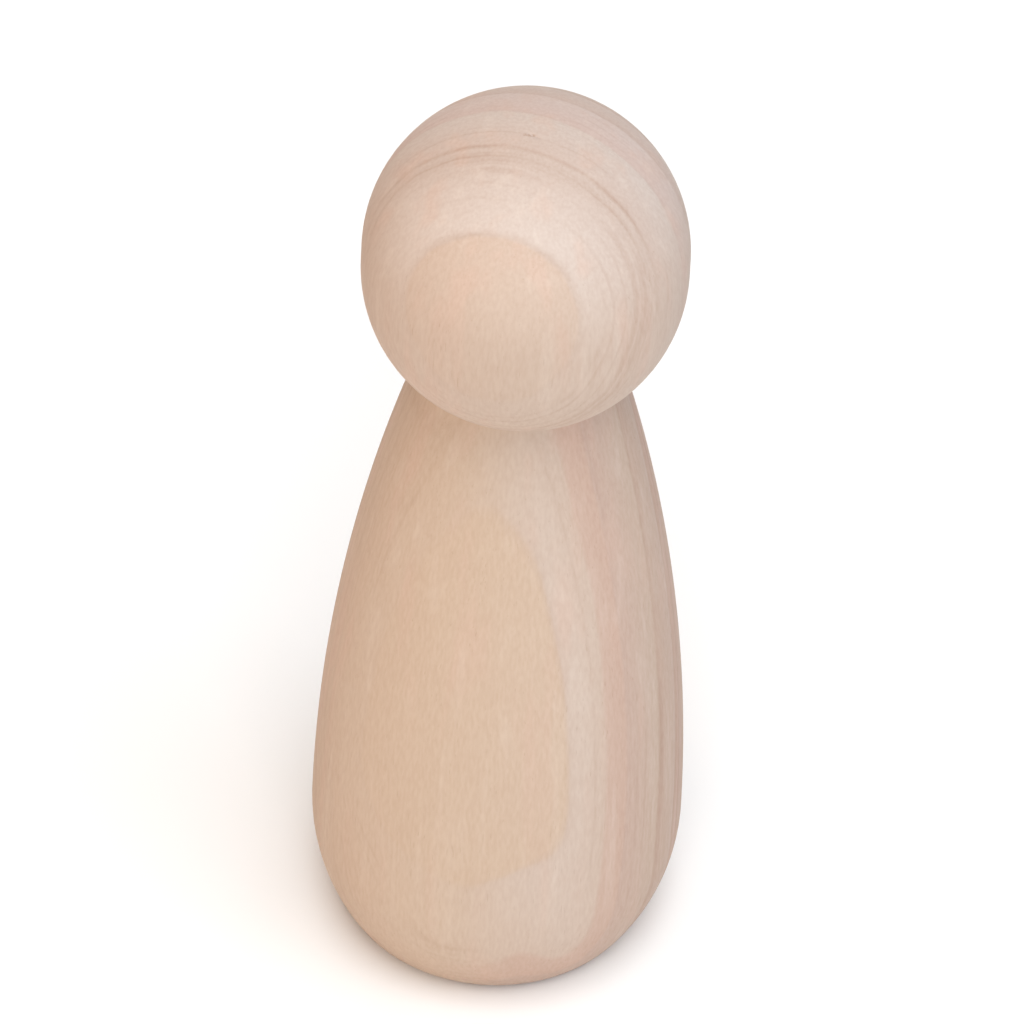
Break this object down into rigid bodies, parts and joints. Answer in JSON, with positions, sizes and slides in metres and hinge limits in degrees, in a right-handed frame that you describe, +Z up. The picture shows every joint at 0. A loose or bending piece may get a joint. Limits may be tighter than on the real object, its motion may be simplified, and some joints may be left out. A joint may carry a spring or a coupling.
{
  "type": "wooden peg doll",
  "caption": "Unfinished turned wooden game piece: a ball head dowelled and glued onto an egg-shaped body with a flat base to stand on.",
  "frame": {"origin": "centre of the flat round base, on the plane the doll stands on", "axes": "+Z up along the turning axis from the base to the crown of the head; the doll is round about Z, and -Y is the side that the wood's flat-sawn figure faces"},
  "size_m": [0.0316, 0.0316, 0.09],
  "materials": {
    "turned_body": "bare, fine-sanded pale pinkish-tan diffuse-porous hardwood, matte",
    "turned_head": "bare, fine-sanded pale pinkish-tan diffuse-porous hardwood, matte, from the same blank as the body",
    "dowel_hardwood": "bare straight-grained beech-like dowel rod with pressed glue grooves, hidden inside"
  },
  "bodies": {
    "root": {"body": "turned_body", "head": "turned_head", "neck_dowel": "dowel_hardwood"}
  },
  "joints": []
}
